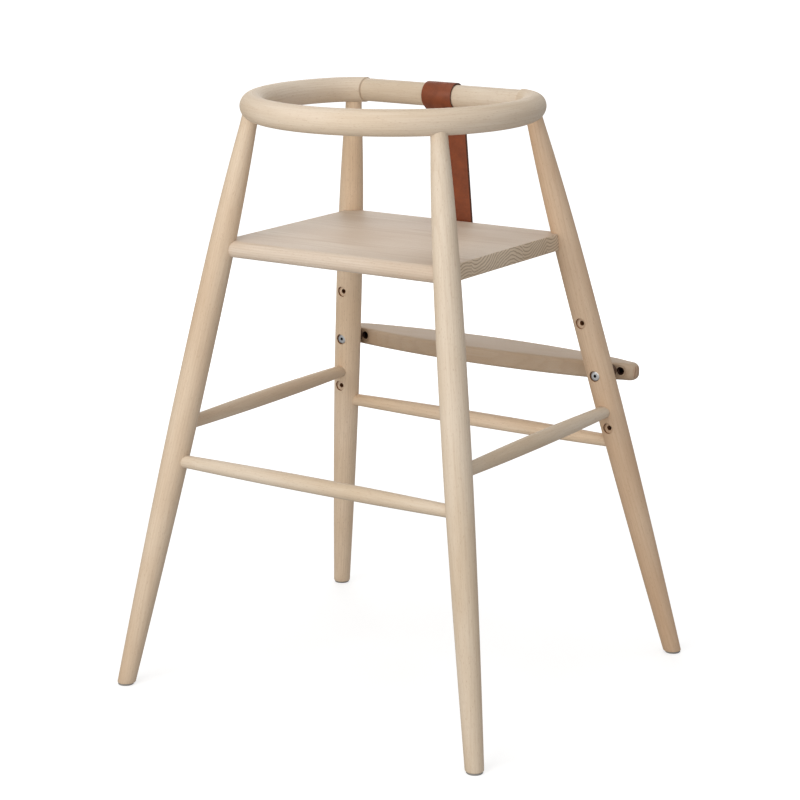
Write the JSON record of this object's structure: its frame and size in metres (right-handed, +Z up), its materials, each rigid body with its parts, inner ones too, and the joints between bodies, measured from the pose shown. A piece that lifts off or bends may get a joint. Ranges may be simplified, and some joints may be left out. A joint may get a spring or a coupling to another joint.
{
  "type": "baby high chair",
  "caption": "Wooden baby high chair with splayed turned legs, a round bent-wood ring with a safety bar, a leather strap, a seat board and a footrest set at a chosen height.",
  "frame": {"origin": "on the floor, under the middle of the chair's box", "axes": "+Z up; the child looks along -Y; the child's left hand is at +X"},
  "size_m": [0.5774, 0.5323, 0.781],
  "materials": {
    "wood": "soaped pale beech, matt",
    "leather": "cognac vegetable-tanned leather, satin",
    "steel": "zinc plated",
    "insert": "blackened",
    "spacer": "moulded, matt black",
    "glide": "matt grey"
  },
  "bodies": {
    "frame": {"leg_front_left": "wood", "leg_front_right": "wood", "leg_rear_left": "wood", "leg_rear_right": "wood", "top_ring": "wood", "safety_bar": "wood", "seat_board": "wood", "stretcher_front": "wood", "stretcher_rear": "wood", "stretcher_left": "wood", "stretcher_right": "wood", "strap_screw_left": "steel", "strap_screw_right": "steel", "bar_pin_left": "steel", "bar_pin_right": "steel", "foot_glide_front_left": "glide", "foot_glide_front_right": "glide", "foot_glide_rear_left": "glide", "foot_glide_rear_right": "glide", "safety_strap": "leather"},
    "footrest": {"footrest_board": "wood", "footrest_insert_left_inner": "insert", "footrest_insert_left_middle": "insert", "footrest_insert_left_outer": "insert", "footrest_insert_right_inner": "insert", "footrest_insert_right_middle": "insert", "footrest_insert_right_outer": "insert", "footrest_spacer_left": "spacer", "footrest_spacer_right": "spacer"},
    "footrest_bolt_left": {"footrest_bolt_left": "steel"},
    "footrest_bolt_right": {"footrest_bolt_right": "steel"}
  },
  "joints": [
    {"name": "footrest_draw_off", "type": "slide", "parent": "frame", "child": "footrest", "axis": [0, -1, 0], "range_m": [0, 0.05]},
    {"name": "bolt_left_draw_out", "type": "slide", "parent": "frame", "child": "footrest_bolt_left", "axis": [0, 1, 0], "range_m": [0, 0.06]},
    {"name": "bolt_right_draw_out", "type": "slide", "parent": "frame", "child": "footrest_bolt_right", "axis": [0, 1, 0], "range_m": [0, 0.06]}
  ]
}
